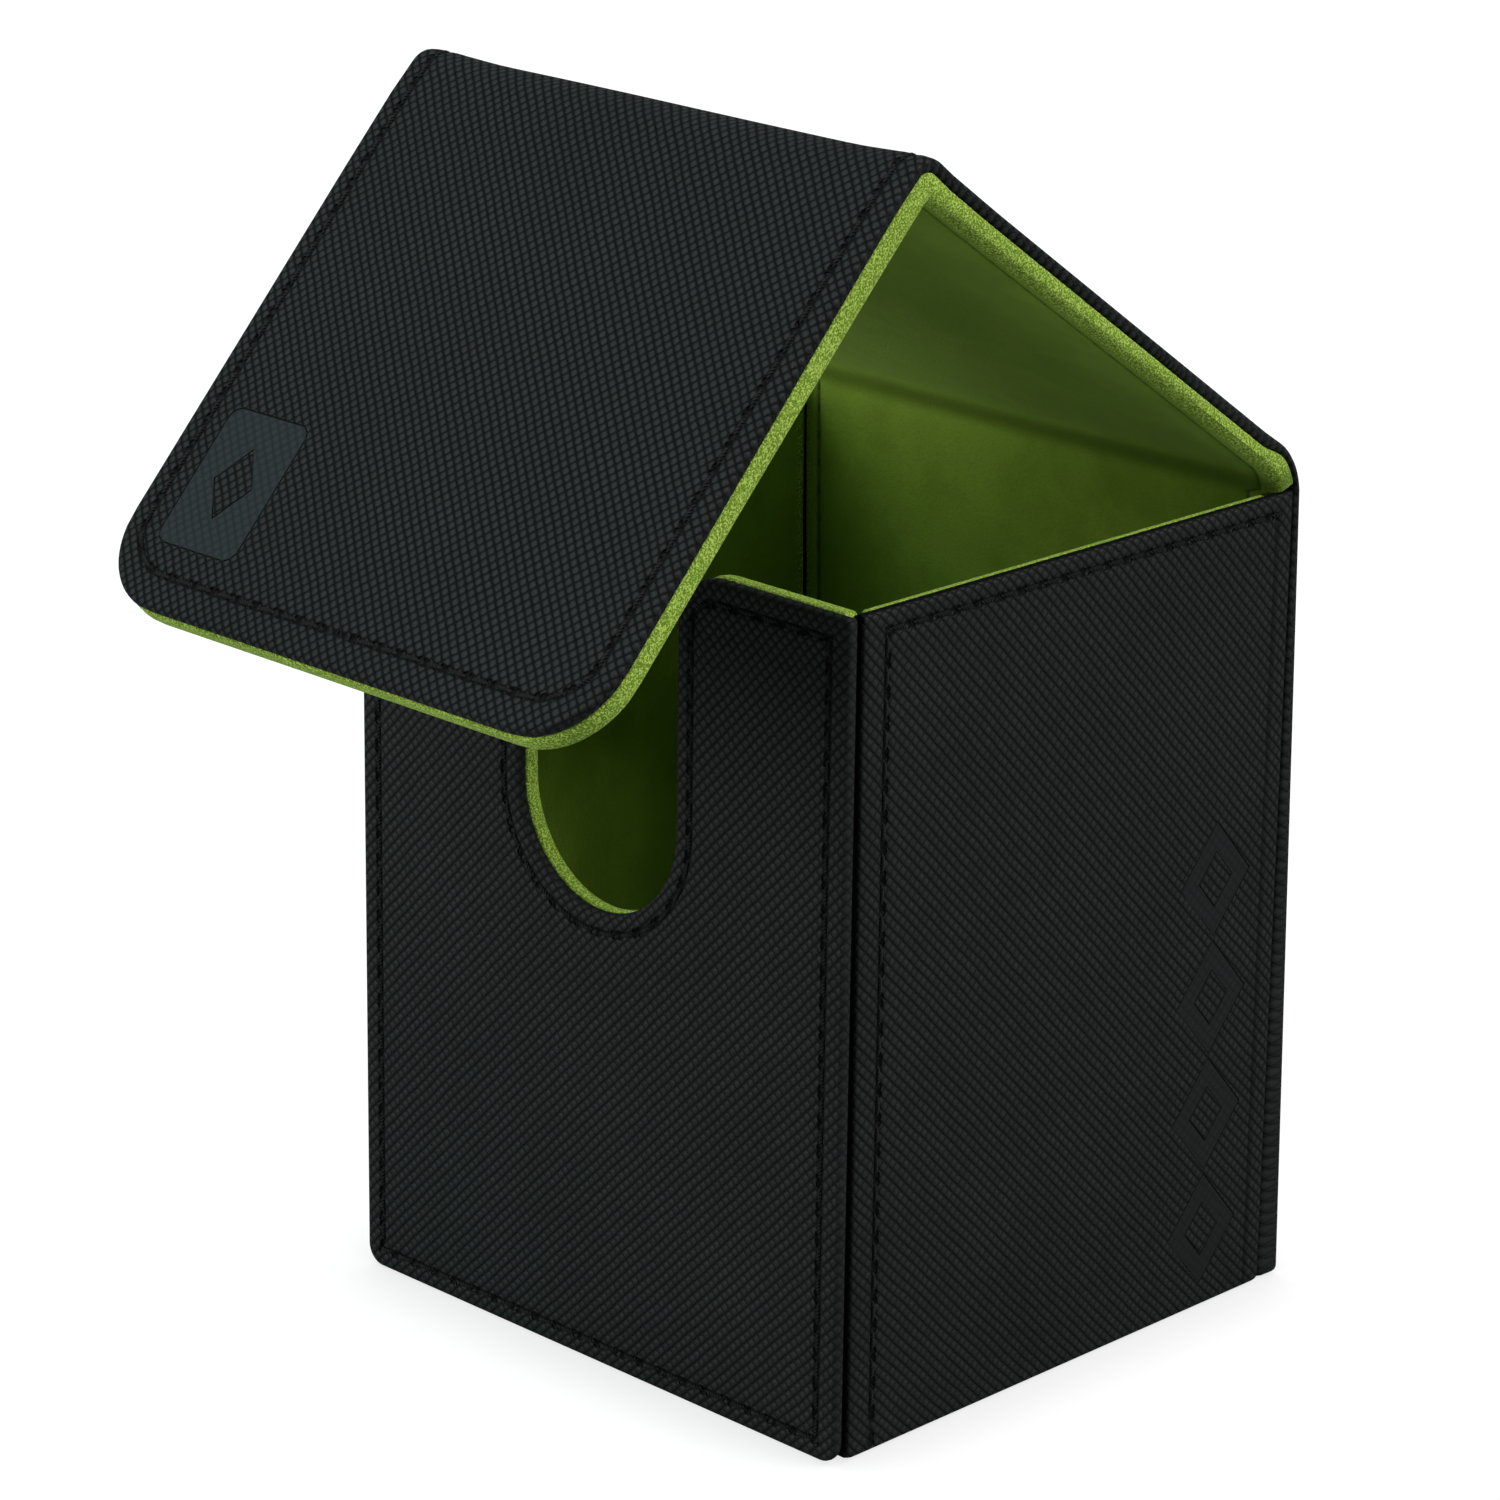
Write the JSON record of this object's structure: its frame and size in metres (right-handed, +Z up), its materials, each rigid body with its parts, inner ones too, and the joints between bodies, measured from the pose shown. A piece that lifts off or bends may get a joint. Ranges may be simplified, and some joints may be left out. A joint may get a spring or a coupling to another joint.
{
  "type": "card deck box",
  "caption": "Upright storage box for sleeved playing cards, leather-covered board with a suede lining, a finger notch in front and a hinged lid that carries a fold-down flap.",
  "frame": {"origin": "middle of the flat underside of the base, on the surface that the box stands on", "axes": "+Z up, +X to the box's right seen from its notched front, -Y out of the notched front"},
  "size_m": [0.0812, 0.1166, 0.1488],
  "materials": {
    "leather": "black synthetic leather embossed with a fine diagonal weave, low sheen",
    "suede": "lime green microsuede with a short brushed nap",
    "greyboard": "grey paperboard, unfinished",
    "thread": "black polyester sewing thread",
    "magnet": "nickel-plated disc magnet"
  },
  "bodies": {
    "box": {"front_cover": "leather", "side_and_base_cover": "leather", "back_cover": "leather", "rear_hinge_skin": "leather", "front_lining": "suede", "left_lining": "suede", "right_lining": "suede", "back_lining": "suede", "base_lining": "suede", "rear_hinge_lining": "suede", "front_board": "greyboard", "left_board": "greyboard", "right_board": "greyboard", "back_board": "greyboard", "base_board": "greyboard", "front_thread": "thread", "left_thread": "thread", "right_thread": "thread", "back_thread": "thread", "front_magnet_left": "magnet", "front_magnet_right": "magnet"},
    "lid": {"lid_cover": "leather", "ridge_hinge_skin": "leather", "lid_lining": "suede", "ridge_hinge_lining": "suede", "lid_board": "greyboard", "lid_thread_left": "thread", "lid_thread_right": "thread"},
    "flap": {"flap_cover": "leather", "flap_lining": "suede", "flap_board": "greyboard", "flap_thread": "thread", "flap_magnet_left": "magnet", "flap_magnet_right": "magnet"}
  },
  "joints": [
    {"name": "lid_hinge", "type": "hinge", "parent": "box", "child": "lid", "pos_m": [0, 0.03605, 0.101], "axis": [1, 0, 0], "range_deg": [-170.34, 34.66], "deforming": ["rear_hinge_skin", "rear_hinge_lining"]},
    {"name": "flap_hinge", "type": "hinge", "parent": "lid", "child": "flap", "pos_m": [0, -0.02643, 0.1448], "axis": [1, 0, 0], "range_deg": [-102.14, 8.66], "deforming": ["ridge_hinge_skin", "ridge_hinge_lining"]}
  ]
}
